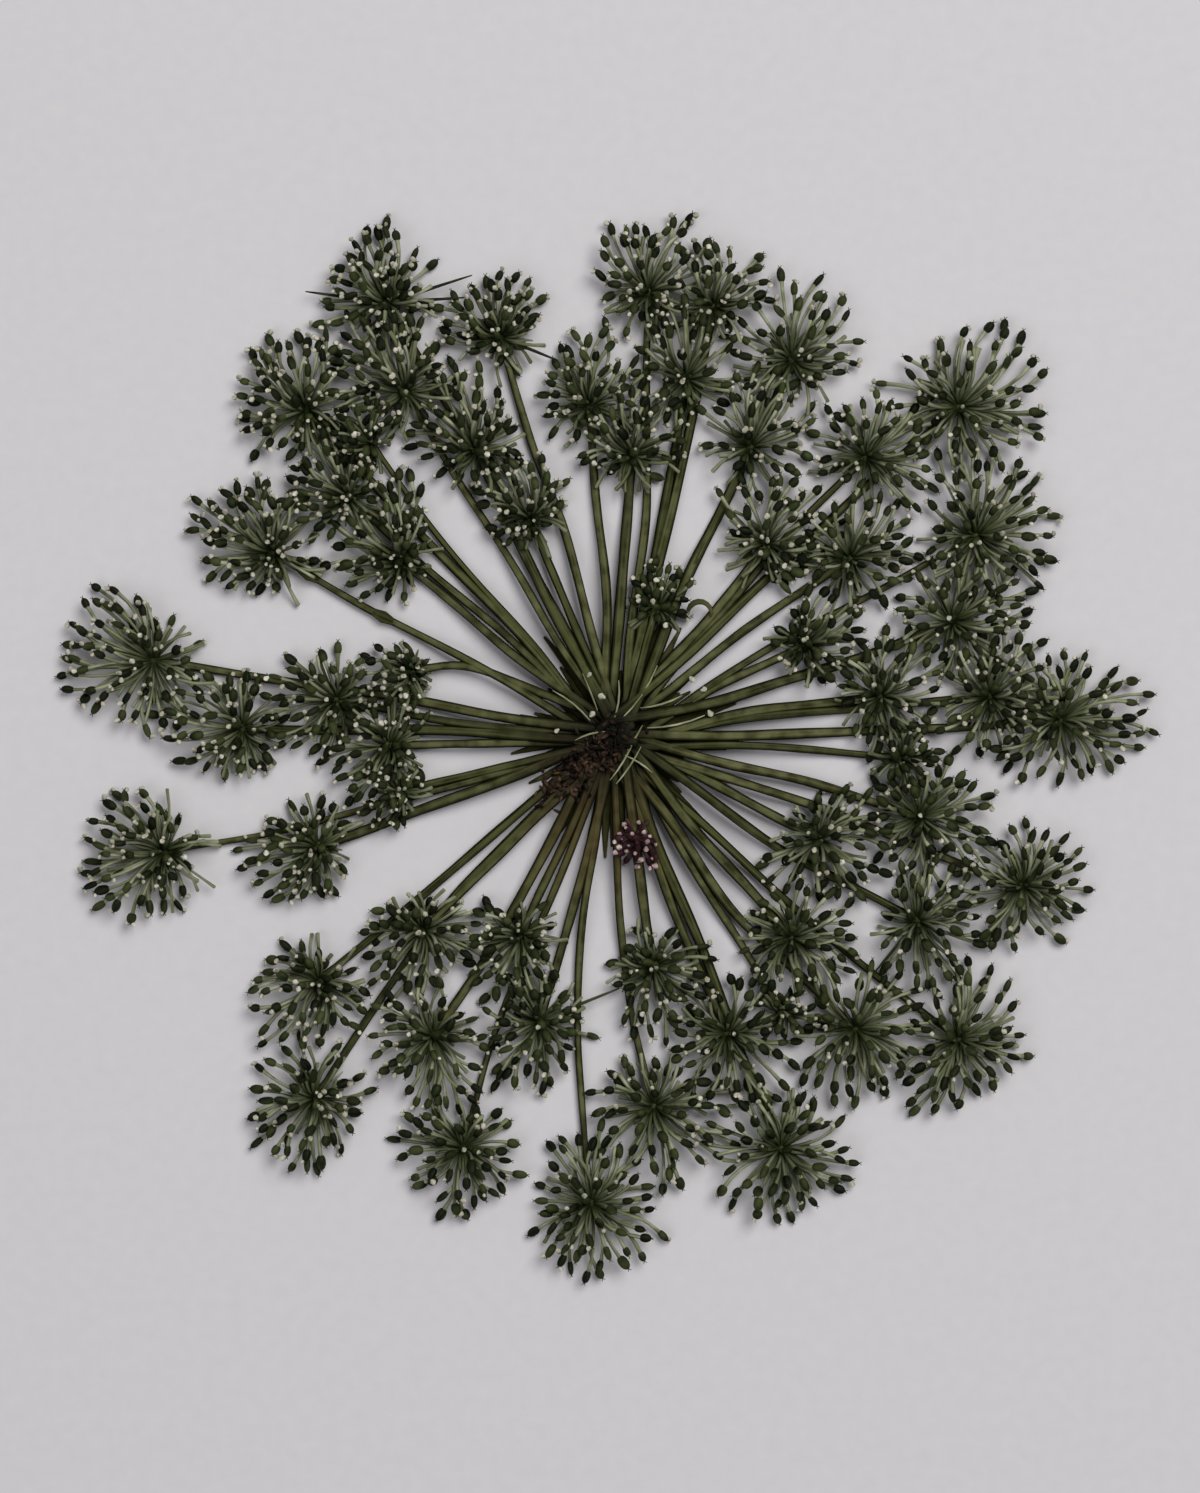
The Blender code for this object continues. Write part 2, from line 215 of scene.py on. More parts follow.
# Loose petals that lie on the rays near the hub: their places in millimetres
FALLEN_PETALS = (
    (-4.5, 0.5), (-2.0, 1.5), (-2.2, 4.7), (6.0, 4.7), (7.5, 2.0), (6.9, 3.6), (-0.8, 3.0),
)
FALLEN_LEANS = (-0.1, 0.3)
FALLEN_LENGTHS = (0.5, 0.75)

# Pale threads that cross the hub on top of the rays, as painted highlights along the rays' crowns: each
# one's two ends in millimetres
THREADS = (
    ((-0.4, -3.6), (1.6, -0.2)),
    ((0.1, -3.9), (2.1, -0.9)),
    ((0.4, 1.2), (3.4, 5.6)),
    ((-1.4, 2.0), (-2.6, 5.0)),
    ((2.6, 0.6), (7.2, 1.6)),
    ((-5.0, 3.6), (-2.0, 1.2)),
    ((1.0, -1.2), (2.2, 0.8)),
    ((3.0, -3.0), (0.8, -1.6)),
    ((-3.2, -0.4), (-0.8, 0.3)),
    ((-0.2, 1.0), (0.3, 4.4)),
    ((2.0, 2.2), (5.4, 3.2)),
)
THREAD_WIDTHS = (0.04, 0.08, 0.09, 0.08, 0.04)
THREAD_SIDES = 5
THREAD_BOW = 0.14
THREAD_LIFT = 0.05 * MM
THREAD_TINTS = (0.4, 1.0)
THREAD_PRESSED = 0.6

# How many florets an umbellet has to a millimetre of its radius, and where on the head there are more
# or fewer: a place and how far round it, in millimetres, and the most that it adds
FLORETS_PER_MM = 9.7
FEWEST_FLORETS = 9
CROWDING = (((-20.0, 26.0), 15.0, 0.26), ((14.0, 34.0), 24.0, -0.32))

# Where the florets of an umbellet lie
GOLDEN_ANGLE = math.pi * (3.0 - math.sqrt(5.0))
ANGLE_PLAY = 0.8
REACH_PLAY = (0.9, 1.06)
SPREAD_POWER = 0.48
INNERMOST = 0.08
RIM_WAVES = ((2, 0.09), (3, 0.07))
TOWARDS_NEIGHBOURS = 0.3
OVER_BORDER = 2.4 * MM
HEIGHT_AT_MIDDLE = 3.4 * MM
DROP_TO_RIM = 2.85 * MM
DROP_POWER = 2.3
CROWDED_RISE = 0.3
HEIGHT_PLAY = 0.22
LEAN_AT_MIDDLE = math.radians(74)
LEAN_AT_RIM = math.radians(-4)
LEAN_POWER = 0.8
LEAN_PLAY = 0.18
VEER_PLAY = 0.42
LOWEST = 0.3 * MM
NEAR_RAY = 0.75 * MM
NEAR_UMBELLET = 1.4
TRIES = 5
COMPANY_CELL = 1.6 * MM

# Florets that reached out alone: the umbellet's place in the list above and the tip in millimetres
STRAYS = ((22, -14.3, 38.3), (22, -24.4, 33.0), (26, -15.5, 20.3), (18, -7.7, 29.0), (42, -1.3, -24.4))
STRAY_LEVEL = 0.5 * MM
STRAY_RISE = 0.05
STRAY_SHARE = 0.9

# Knobs and bracteoles
KNOB_RADIUS = 0.42 * MM
KNOB_LEVEL = 1.2 * MM
KNOB_HEIGHT = 0.34 * MM
KNOB_SIDES = 14
KNOB_OUTLINE = ((0.5, -0.9), (0.85, -0.5), (1.0, 0.1), (0.8, 0.6), (0.4, 0.95))
KNOB_ASIDE = 0.3
KNOB_ASIDE_UPPER_LEFT = 0.18
BRACTEOLES = 5
BRACTEOLE_TURN = 0.3
BRACTEOLE_REACH = (0.4, 0.66)
BRACTEOLE_LEVELS = (-0.1, 0.12, -0.05)
BRACTEOLE_WIDTHS = (0.16, 0.17, 0.16, 0.14, 0.12, 0.1, 0.05)
BRACTEOLE_SIDES = 6
BRACTEOLE_PRESSED = 0.5

# Longer dark bracteoles: the umbellet's place in the list above, the way that they point in degrees
# and their length in millimetres
LONG_BRACTEOLES = (
    (22, 18, 7.2), (22, 4, 6.4), (22, 172, 6.6), (18, -22, 5.0), (42, 22, 7.0), (52, -130, 5.4),
)

# Stalks
STALK_RADIUS = 0.14 * MM
STALK_SIDES = 5
STALK_WIDTHS = (1.15, 1.0, 0.92, 0.95, 1.05, 1.25)
STALK_SIZES = (0.85, 1.15)
STALK_ROOT = 0.55
STALK_ROOT_HEIGHT = 0.75
STALK_ROOT_DROP = 0.6
STALK_BEND = 0.42
STALK_INTO_OVARY = 0.12
STALK_ABOVE_KNOB = 0.1 * MM
BARE_STALKS_PER_MM = 6.5
BARE_STALK_REACH = (0.3, 0.92)
BARE_STALK_LEVELS = (0.35 * MM, 2.3 * MM)
BARE_STALK_RISE = 0.2 * MM
BARE_STALK_BOW = 0.35
BARE_STALK_SWEEP = 0.6
BARE_STALK_SIZES = (0.8, 1.1)
BARE_STALK_WIDTHS = (1.2, 1.0, 0.95, 1.0, 1.3)

# Ovaries, styles and petals
OVARY_LENGTH = (0.8 * MM, 1.26 * MM)
OVARY_RADIUS = (0.255 * MM, 0.38 * MM)
OVARY_SIDES = 8
OVARY_RIBS = 4
OVARY_RIB_DEPTH = 0.09
OVARY_PRESSED = 0.92
OVARY_OUTLINE = ((0.0, 0.45), (0.13, 0.82), (0.36, 1.0), (0.64, 0.98), (0.86, 0.74), (0.98, 0.4))
FULL_SIZE_FROM = 3.4
STYLE_WIDTHS = (0.05, 0.03)
STYLE_SIDES = 3
STYLE_ENDS = (-0.3, 1.0)
STYLE_FORWARD = 0.2
STYLE_BOW = 0.16
STYLE_BOW_ASIDE = (0.5, 1.0)
STYLE_BOW_UP = (-0.3, 0.6)
PETALS = 4
PETALS_LEFT_AT = (0.3, 0.9)
PETALS_LEFT = (0.56, 0.24)
PETAL_LENGTHS = (0.36, 0.66)
PETAL_WIDTHS = (0.16, 0.42, 0.22)
PETAL_SIDES = 5
PETAL_PRESSED = 0.28
PETAL_STEEPEST = 0.9
PETAL_ROLL = 0.4
PETAL_BACK = 0.1
PETAL_ASIDE = 0.12
CREAMY = 0.66
CREAMY_UPPER_LEFT = 0.5
CREAMY_CENTRAL = 1.2
CREAMY_PLAY = 0.12

# Finishes
DRIED_SHEEN = 0.08
RELIEF = 0.05 * MM
FINE_AROUND = 5.0
FINE_ALONG = 900.0

# Picture
IMAGE_SHAPE = 1200 / 1493
LENS = 100.0
SENSOR = 36.0
MARGIN = 1.085


class Shape:
    """The points and faces of one piece, with each face's finish and each point's place in the grain."""

    def __init__(self):
        self.points, self.faces, self.finishes, self.grains = [], [], [], []
        self.count = 0

    def skin(self, rings, start, end, finish, tint):
        """One closed skin over rings of points, drawn together at both ends."""
        steps, sides = rings.shape[:2]
        first = self.count
        around = np.tile(np.arange(sides) / sides, steps)
        lengths = np.linalg.norm(np.diff(rings.mean(axis=1), axis=0), axis=1)
        along = np.repeat(np.concatenate(((0.0,), np.cumsum(lengths))), sides)
        self.points += [rings.reshape(-1, 3), np.array((start, end))]
        grain = np.column_stack((around, along, np.full(steps * sides, tint)))
        self.grains += [grain, np.array(((0.0, 0.0, tint), (0.0, along[-1], tint)))]
        low, high = first + steps * sides, first + steps * sides + 1
        for step in range(steps - 1):
            here = first + step * sides
            for side in range(sides):
                after = (side + 1) % sides
                self.faces.append((here + side, here + after, here + sides + after, here + sides + side))
        last = first + (steps - 1) * sides
        for side in range(sides):
            after = (side + 1) % sides
            self.faces.append((first + after, first + side, low))
            self.faces.append((last + side, last + after, high))
        self.finishes += [finish] * ((steps + 1) * sides)
        self.count += steps * sides + 2

    def piece(self, name, finishes):
        """The finished object, with nothing of it below the surface that it lies on."""
        points = np.concatenate(self.points)
        points[:, 2] = np.maximum(points[:, 2], SURFACE)
        mesh = bpy.data.meshes.new(name)
        mesh.from_pydata(points, [], self.faces)
        for made in finishes:
            mesh.materials.append(made)
        mesh.polygons.foreach_set("material_index", self.finishes)
        mesh.polygons.foreach_set("use_smooth", [True] * len(self.faces))
        grain = mesh.attributes.new("grain", "FLOAT_VECTOR", "POINT")
        grain.data.foreach_set("vector", np.concatenate(self.grains).ravel())
        mesh.update()
        made = bpy.data.objects.new(name, mesh)
        bpy.context.scene.collection.objects.link(made)
        return made


def tube(shape, path, radii, sides, finish, tint, pressed=1.0, ribs=0, rib_depth=0.0, turn=0.0):
    """A closed tube of changing radius, with ribs along it where asked, pressed flatter than wide."""
    path, radii = np.asarray(path), np.asarray(radii)
    tangents = np.gradient(path, axis=0)
    tangents /= np.linalg.norm(tangents, axis=1)[:, None]
    across = np.cross(UP, tangents)
    across /= np.linalg.norm(across, axis=1)[:, None] + 1e-12
    lift = np.cross(tangents, across)
    angles = turn + np.linspace(0.0, math.tau, sides, endpoint=False)
    ribbed = 1.0 + rib_depth * np.cos(ribs * (angles - turn))
    aside = (ribbed * np.cos(angles))[None, :, None] * across[:, None, :]
    above = (ribbed * np.sin(angles))[None, :, None] * lift[:, None, :] * pressed
    rings = path[:, None, :] + radii[:, None, None] * (aside + above)
    start = path[0] - tangents[0] * radii[0] * 0.5
    end = path[-1] + tangents[-1] * radii[-1] * 0.5
    shape.skin(rings, start, end, finish, tint)


def lathe(centre, outline, radius, height, sides, lobes=0, lobe_depth=0.0, twist=0.0):
    """Rings of points round an upright axis: each ring's reach and level are shares of the two sizes."""
    angles = np.linspace(0.0, math.tau, sides, endpoint=False)
    rings = []
    for reach, level in outline:
        lobed = 1 + lobe_depth * np.cos(lobes * angles + twist * level)
        x = centre[0] + reach * radius * lobed * np.cos(angles)
        y = centre[1] + reach * radius * lobed * np.sin(angles)
        rings.append(np.column_stack((x, y, np.full(sides, centre[2] + level * height))))
    return np.array(rings)


def curve_between(start, guide, end, count):
    """Points along a bend that leaves start towards guide and reaches end from it."""
    share = np.linspace(0.0, 1.0, count)[:, None]
    return (1 - share) ** 2 * start + 2 * share * (1 - share) * guide + share**2 * end


def level_way(angle):
    """A level step of one in a direction, and another square to it."""
    out = np.array((math.cos(angle), math.sin(angle), 0.0))
    return out, np.array((-out[1], out[0], 0.0))


def facing_way(turn, lean):
    """A step of one in a direction that rises by the angle lean."""
    return np.array((math.cos(turn) * math.cos(lean), math.sin(turn) * math.cos(lean), math.sin(lean)))


def middle(umbellet):
    return Vector(umbellet[:2]) * MM


def upper_left(umbellet):
    """From -1 at the head's lower right to 1 at its upper left, where the umbellets lie over further."""
    x, y = umbellet[:2]
    return max(-1.0, min(1.0, (y - x) / UPPER_LEFT_REACH))


def size_share(umbellet):
    """How big an umbellet's florets are: smaller than the rest in the small ones."""
    return min(1.0, (umbellet[2] / FULL_SIZE_FROM) ** 0.5)


def knob_place(umbellet):
    """The knob lies to the hub's side of its florets, as they were pressed over outwards."""
    before = Vector(umbellet[3][-1]) * MM if umbellet[3] else Vector((0.0, 0.0))
    inward = (before - middle(umbellet)).normalized()
    share = KNOB_ASIDE + KNOB_ASIDE_UPPER_LEFT * upper_left(umbellet)
    return middle(umbellet) + inward * share * umbellet[2] * MM


def top_of_rays(x, y):
    """How high the rays' upper sides are: they arch up towards the hub."""
    return float(np.interp(math.hypot(x, y), TOPS_AT, TOPS))


def knob_level(umbellet):
    return KNOB_LEVEL + top_of_rays(*knob_place(umbellet)) - TOPS[-1]


def ray_corners(umbellet):
    return [Vector(bend) * MM for bend in umbellet[3]] + [knob_place(umbellet)]


def places_in_order():
    """Each umbellet's place in the order of the rays round the hub."""
    aims = [ray_corners(umbellet)[0] for umbellet in EVERY]
    by_bearing = sorted(range(len(EVERY)), key=lambda index: math.atan2(aims[index].y, aims[index].x))
    return {index: order for order, index in enumerate(by_bearing)}


def ray_path(umbellet, order, draw):
    """A ray's line in even steps, smoothed, waved and arched, from past the hub's middle to its knob."""
    corners = ray_corners(umbellet)
    outward = corners[0].normalized()
    aside = Vector((-outward.y, outward.x))
    level = RAY_LEVEL + RAY_LEVEL_STEPS[order % len(RAY_LEVEL_STEPS)]
    first = -outward * draw.uniform(*HUB_OVERSHOOT) + aside * draw.uniform(-HUB_ASIDE, HUB_ASIDE)
    places = [(*first, draw.uniform(*HUB_HEIGHTS)), (*(outward * RAY_SETTLES), level)]
    if corners[0].length <= RAY_SETTLES + MM:
        places[1] = (*(corners[0] * RAY_NEAR_CORNER), level)
    places += [(*corner, level) for corner in corners if corner.length > RAY_SETTLES + MM]
    inward = (Vector(places[-2][:2]) - corners[-1]).normalized()
    places[-1] = (*(corners[-1] + inward * RAY_ENDS_WITHIN), level)
    places.append((*corners[-1], knob_level(umbellet) - RAY_END_BELOW))
    places = np.array(places)
    reached = np.concatenate(((0.0,), np.cumsum(np.linalg.norm(np.diff(places, axis=0), axis=1))))
    stations = np.linspace(0.0, reached[-1], max(RAY_FEWEST_STEPS, round(reached[-1] / RAY_STEP)))
    path = np.column_stack([np.interp(stations, reached, places[:, axis]) for axis in range(3)])
    for _ in range(RAY_SMOOTHINGS):
        path[1:-1] = (path[:-2] + 2 * path[1:-1] + path[2:]) / 4
    swing = np.sin(math.pi * stations / reached[-1])
    phase, pace = draw.uniform(0, math.tau), draw.uniform(*RAY_WAVE_PACES)
    wave = RAY_WAVE * swing * np.sin(phase + pace * stations / MM)
    path[:, 0] += aside.x * wave
    path[:, 1] += aside.y * wave
    gone = np.minimum(np.hypot(path[:, 0], path[:, 1]) / RAY_ARCH_REACH, 1.0)
    ends = np.minimum((reached[-1] - stations) / RAY_ARCH_ENDS, 1.0)
    path[:, 2] += RAY_ARCH * np.sin(math.pi * gone) * ends
    return path


def ray(shape, umbellet, path, draw):
    """A grooved ray that thins outwards and swells at its end."""
    share = np.linspace(0.0, 1.0, len(path))
    radius = draw.uniform(*RAY_RADII) * (SMALL_RAY if umbellet[2] < SMALL_UMBELLET else 1.0)
    gone = np.hypot(path[:, 0], path[:, 1])
    profile = radius * np.interp(gone, RAY_PROFILE_AT, RAY_PROFILE)
    profile *= 1.0 + RAY_UNEVEN * np.sin(share * RAY_UNEVEN_PACE + draw.uniform(0, 6))
    profile[-2:] *= RAY_SWELLS
    tube(
        shape, path, profile, RAY_SIDES, RAY_SKIN, draw.random(), RAY_PRESSED, RAY_GROOVES,
        RAY_GROOVE_DEPTH, draw.uniform(-RAY_TURN, RAY_TURN),
    )


def knot(shape, path, x, y):
    """A short swelling on a ray, at the step of its line that is nearest to the place."""
    nearest = int(np.argmin(np.hypot(path[:, 0] - x, path[:, 1] - y)))
    steps = path[nearest - 1 : nearest + 2]
    tube(shape, steps, np.array(KNOT_WIDTHS) * MM, KNOT_SIDES, RAY_SKIN, 0.3)


def hub(shape, draw):
    """The low knob with the bracts round it, and the tuft, threads, curl and petals on the rays."""
    rings = lathe(
        (0.0, 0.0, 0.0), HUB_OUTLINE, HUB_RADIUS, HUB_HEIGHT, HUB_SIDES, HUB_LOBES, HUB_LOBE_DEPTH, HUB_TWIST
    )
    shape.skin(rings, (0.0, 0.0, 0.0), (0.0, 0.0, HUB_HEIGHT), TUFT_SKIN, 0.1)
    for step in range(BRACTS):
        bract(shape, math.tau * (step + draw.uniform(-BRACT_TURN, BRACT_TURN)) / BRACTS, draw)
    for _ in range(TUFT_SCALES):
        share = draw.random()
        x = TUFT_FROM[0] + share * (TUFT_TO[0] - TUFT_FROM[0]) + draw.gauss(0.0, TUFT_SPREAD)
        y = TUFT_FROM[1] + share * (TUFT_TO[1] - TUFT_FROM[1]) + draw.gauss(0.0, TUFT_SPREAD)
        scale(shape, (x, y, top_of_rays(x, y) + draw.uniform(*TUFT_LEVELS) * MM), draw)
    for start, end in THREADS:
        thread(shape, np.array(start) * MM, np.array(end) * MM, draw)
    turns = np.linspace(*CURL_TURN, len(CURL_WIDTHS))
    x = CURL_MIDDLE[0] + CURL_REACH * np.cos(turns)
    y = CURL_MIDDLE[1] + CURL_REACH * np.sin(turns)
    curl = np.column_stack((x, y, np.full(len(turns), top_of_rays(*CURL_MIDDLE) + CURL_LIFT)))
    tube(shape, curl, np.array(CURL_WIDTHS) * MM, CURL_SIDES, BRACT_SKIN, 0.9, pressed=CURL_PRESSED)
    for x, y in FALLEN_PETALS:
        root = np.array((x, y, 0.0)) * MM
        root[2] = top_of_rays(root[0], root[1])
        turn, lean = draw.uniform(0, math.tau), draw.uniform(*FALLEN_LEANS)
        petal(shape, root, turn, lean, draw.uniform(*FALLEN_LENGTHS) * MM, draw)


def bract(shape, angle, draw):
    """A narrow dark lobe of the bracts, lying under the rays. Its dark tone in the gaps between the rays
    near the hub also stands in for the shade there, as painted shade.
    """
    out, square = level_way(angle)
    end = out * draw.uniform(*BRACT_REACH) + UP * BRACT_LEVEL
    aside = square * draw.uniform(-BRACT_BOW, BRACT_BOW) * MM
    root = out * BRACT_ROOT[0] + UP * BRACT_ROOT[1]
    path = curve_between(root, end * 0.5 + aside, end, len(BRACT_WIDTHS))
    radii = np.array(BRACT_WIDTHS) * MM
    tube(shape, path, radii, BRACT_SIDES, BRACT_SKIN, draw.random(), pressed=BRACT_PRESSED)


def scale(shape, place, draw):
    """A short dried bract end of the tuft on and beside the hub."""
    turn, lean = draw.uniform(0, math.tau), draw.uniform(*SCALE_LEANS)
    length = draw.uniform(*SCALE_LENGTHS) * MM
    path = np.array(place) + np.linspace(0.0, 1.0, 4)[:, None] * facing_way(turn, lean) * length
    radii = draw.uniform(*SCALE_SIZES) * np.array(SCALE_WIDTHS) * MM
    tube(shape, path, radii, SCALE_SIDES, TUFT_SKIN, draw.random(), pressed=SCALE_PRESSED)


def thread(shape, start, end, draw):
    """A thin pale strand that lies over the rays: a painted highlight along a ray's crown."""
    along = end - start
    aside = np.array((-along[1], along[0])) * draw.uniform(-THREAD_BOW, THREAD_BOW)
    flat = curve_between(start, (start + end) / 2 + aside, end, len(THREAD_WIDTHS))
    path = np.array([(x, y, top_of_rays(x, y) + THREAD_LIFT) for x, y in flat])
    radii = np.array(THREAD_WIDTHS) * MM
    tint = draw.uniform(*THREAD_TINTS)
    tube(shape, path, radii, THREAD_SIDES, THREAD_SKIN, tint, pressed=THREAD_PRESSED)


def petal(shape, root, turn, lean, length, draw):
    """A tiny dry petal: broad and thin, with its tip turned up."""
    flat = level_way(turn)[0]
    rise = math.sin(lean) * length
    guide = root + flat * math.cos(lean) * length * 0.65 + UP * rise * 0.4
    end = root + flat * math.cos(lean) * length * 0.75 + UP * (rise + 0.18 * length)
    path = curve_between(root, guide, end, 3)
    radii = length * np.array(PETAL_WIDTHS)
    tint, roll = draw.random(), draw.uniform(-PETAL_ROLL, PETAL_ROLL)
    tube(shape, path, radii, PETAL_SIDES, PETAL_SKIN, tint, pressed=PETAL_PRESSED, turn=roll)


def distance_to_rays(place, paths):
    """How far a place is from the nearest ray, seen from above."""
    return min(float(np.min(np.hypot(path[:, 0] - place[0], path[:, 1] - place[1]))) for path in paths)


def borders(index):
    """Upright planes between an umbellet and its neighbours, as (direction, distance) from it."""
    here = middle(EVERY[index])
    planes = []
    for other, umbellet in enumerate(EVERY):
        apart = middle(umbellet) - here
        if other == index or apart.length > (EVERY[index][2] + umbellet[2]) * MM:
            continue
        share = EVERY[index][2] / (EVERY[index][2] + umbellet[2])
        planes.append((apart.normalized(), apart.length * share))
    return planes


def free_reach(direction, reach, planes):
    """How far a floret goes: further where a neighbour lies that way, and in among its florets."""
    towards = max((direction.dot(facing) for facing, _ in planes), default=0.0)
    reach *= 1.0 + TOWARDS_NEIGHBOURS * max(0.0, towards)
    for facing, distance in planes:
        if direction.dot(facing) > 0.05:
            reach = min(reach, (distance + OVER_BORDER) / direction.dot(facing))
    return reach


def crowding(umbellet):
    """How full an umbellet is against the rest: fuller at the head's upper left, thinner at its top."""
    fuller = 1.0
    for place, reach, more in CROWDING:
        fuller += more * max(0.0, 1.0 - math.dist(place, umbellet[:2]) / reach)
    return fuller


class Company:
    """Where ovaries already are, in a grid of cells, so that the next one finds room between them."""

    def __init__(self, cell):
        self.cell = cell
        self.cells = {}

    def key(self, place):
        return tuple(int(math.floor(value / self.cell)) for value in place)

    def add(self, place):
        self.cells.setdefault(self.key(place), []).append(place)

    def room(self, place):
        x, y, z = self.key(place)
        near = [
            other
            for dx in (-1, 0, 1)
            for dy in (-1, 0, 1)
            for dz in (-1, 0, 1)
            for other in self.cells.get((x + dx, y + dy, z + dz), ())
        ]
        return min((float(np.linalg.norm(other - place)) for other in near), default=self.cell)


def floret_places(index, paths, company, draw):
    """Each floret's tip, the way its ovary points, its length and its share of the way to the rim."""
    umbellet = EVERY[index]
    centre, radius = middle(umbellet), umbellet[2] * MM
    planes = borders(index)
    count = max(FEWEST_FLORETS, round(FLORETS_PER_MM * crowding(umbellet) * umbellet[2]))
    turn = draw.uniform(0, math.tau)
    near = [path for path in paths if distance_to_rays(centre, [path]) < radius * NEAR_UMBELLET]
    knob = knob_place(umbellet)
    waves = [(times, size, draw.uniform(0, math.tau)) for times, size in RIM_WAVES]
    places = []
    for step in range(count):
        share = INNERMOST + (1.0 - INNERMOST) * ((step + 0.5) / count) ** SPREAD_POWER
        length = draw.uniform(*OVARY_LENGTH) * size_share(umbellet)
        best = None
        for _ in range(TRIES):
            angle = turn + GOLDEN_ANGLE * step + draw.uniform(-ANGLE_PLAY, ANGLE_PLAY)
            direction = Vector((math.cos(angle), math.sin(angle)))
            rim = 1.0 + sum(size * math.sin(times * angle + phase) for times, size, phase in waves)
            wanted = radius * share * rim * draw.uniform(*REACH_PLAY)
            reach = free_reach(direction, wanted, planes)
            height = HEIGHT_AT_MIDDLE - DROP_TO_RIM * share**DROP_POWER
            height += CROWDED_RISE * max(0.0, wanted - reach)
            height += draw.uniform(-HEIGHT_PLAY, HEIGHT_PLAY) * MM
            end = centre + direction * reach
            away = end - knob
            off = min(1.0, away.length / radius) ** LEAN_POWER
            lean = LEAN_AT_MIDDLE + (LEAN_AT_RIM - LEAN_AT_MIDDLE) * off
            lean += draw.uniform(-LEAN_PLAY, LEAN_PLAY)
            facing = facing_way(math.atan2(away.y, away.x) + draw.uniform(-VEER_PLAY, VEER_PLAY), lean)
            tip = np.array((*end, min(height, HEIGHT_AT_MIDDLE)))
            body = tip - facing * length * 0.5
            lowest = LOWEST
            if distance_to_rays(body, near) < NEAR_RAY:
                lowest = top_of_rays(body[0], body[1]) + LOWEST
            tip[2] += max(0.0, lowest - body[2])
            body = tip - facing * length * 0.5
            room = company.room(body)
            if best is None or room > best[0]:
                best = (room, tip, facing, length, share, body)
        company.add(best[5])
        places.append(best[1:5])
    for which, x, y in STRAYS:
        if which == index:
            away = (Vector((x, y)) * MM - knob).normalized()
            tip = np.array((x * MM, y * MM, STRAY_LEVEL))
            places.append((tip, np.array((away.x, away.y, STRAY_RISE)), length, STRAY_SHARE))
    return places


def bare_stalk(shape, knob, radius, draw):
    """A stalk whose floret has dropped off, in the tangle round the knob."""
    angle, reach = draw.uniform(0, math.tau), radius * draw.uniform(*BARE_STALK_REACH)
    out, square = level_way(angle)
    aside = square * draw.uniform(-BARE_STALK_BOW, BARE_STALK_BOW)
    end = knob + (out + aside * BARE_STALK_SWEEP) * reach
    end[2] = draw.uniform(*BARE_STALK_LEVELS)
    guide = knob + (out - aside) * reach * 0.5
    guide[2] = max(knob[2], end[2]) + BARE_STALK_RISE
    path = curve_between(knob + out * KNOB_RADIUS * 0.5, guide, end, len(BARE_STALK_WIDTHS))
    radii = STALK_RADIUS * draw.uniform(*BARE_STALK_SIZES) * np.array(BARE_STALK_WIDTHS)
    tube(shape, path, radii, STALK_SIDES, STALK_SKIN, draw.random())


def floret(shape, knob, tip, facing, length, share, radius, creamy, draw):
    """A stalk bent out from the knob, its ovary, its two styles and the remains of its petals."""
    base = tip - facing * length
    away = base - knob
    level = away * (1.0, 1.0, 0.0)
    out = level / max(np.linalg.norm(level), 1e-9)
    root_height = STALK_ROOT_HEIGHT - STALK_ROOT_DROP * share
    root = knob + out * KNOB_RADIUS * STALK_ROOT + UP * KNOB_HEIGHT * root_height
    guide = base - facing * np.linalg.norm(away) * STALK_BEND
    guide[2] = max(guide[2], KNOB_LEVEL + STALK_ABOVE_KNOB)
    path = curve_between(root, guide, base + facing * STALK_INTO_OVARY * length, len(STALK_WIDTHS))
    radii = STALK_RADIUS * draw.uniform(*STALK_SIZES) * np.array(STALK_WIDTHS)
    tube(shape, path, radii, STALK_SIDES, STALK_SKIN, draw.random(), turn=draw.uniform(0, 1))
    outline = np.array(OVARY_OUTLINE)
    tube(
        shape, base + outline[:, :1] * facing * length, outline[:, 1] * radius, OVARY_SIDES, OVARY_SKIN,
        draw.random(), OVARY_PRESSED, OVARY_RIBS, OVARY_RIB_DEPTH, draw.uniform(0, math.tau),
    )
    across = np.cross(facing, UP)
    across /= np.linalg.norm(across)
    over = np.cross(across, facing)
    for side in (-1, 1):
        bow = across * side * draw.uniform(*STYLE_BOW_ASIDE) + over * draw.uniform(*STYLE_BOW_UP)
        reach = (facing * STYLE_FORWARD + bow * STYLE_BOW) * MM
        style = tip + np.array(STYLE_ENDS)[:, None] * reach
        tube(shape, style, np.array(STYLE_WIDTHS) * MM, STYLE_SIDES, STALK_SKIN, draw.random())
    chance = creamy * np.interp(share, PETALS_LEFT_AT, PETALS_LEFT)
    for _ in range(PETALS):
        if draw.random() > chance:
            continue
        swing = draw.uniform(0, math.tau)
        aside = across * math.cos(swing) + over * math.sin(swing)
        root = tip - facing * PETAL_BACK * MM + aside * PETAL_ASIDE * MM
        steep = float(facing[2] * 0.5 + aside[2] * 0.6)
        lean = math.asin(max(-PETAL_STEEPEST, min(PETAL_STEEPEST, steep)))
        turn = math.atan2(aside[1] + 0.5 * facing[1], aside[0] + 0.5 * facing[0])
        petal(shape, root, turn, lean, draw.uniform(*PETAL_LENGTHS) * MM, draw)


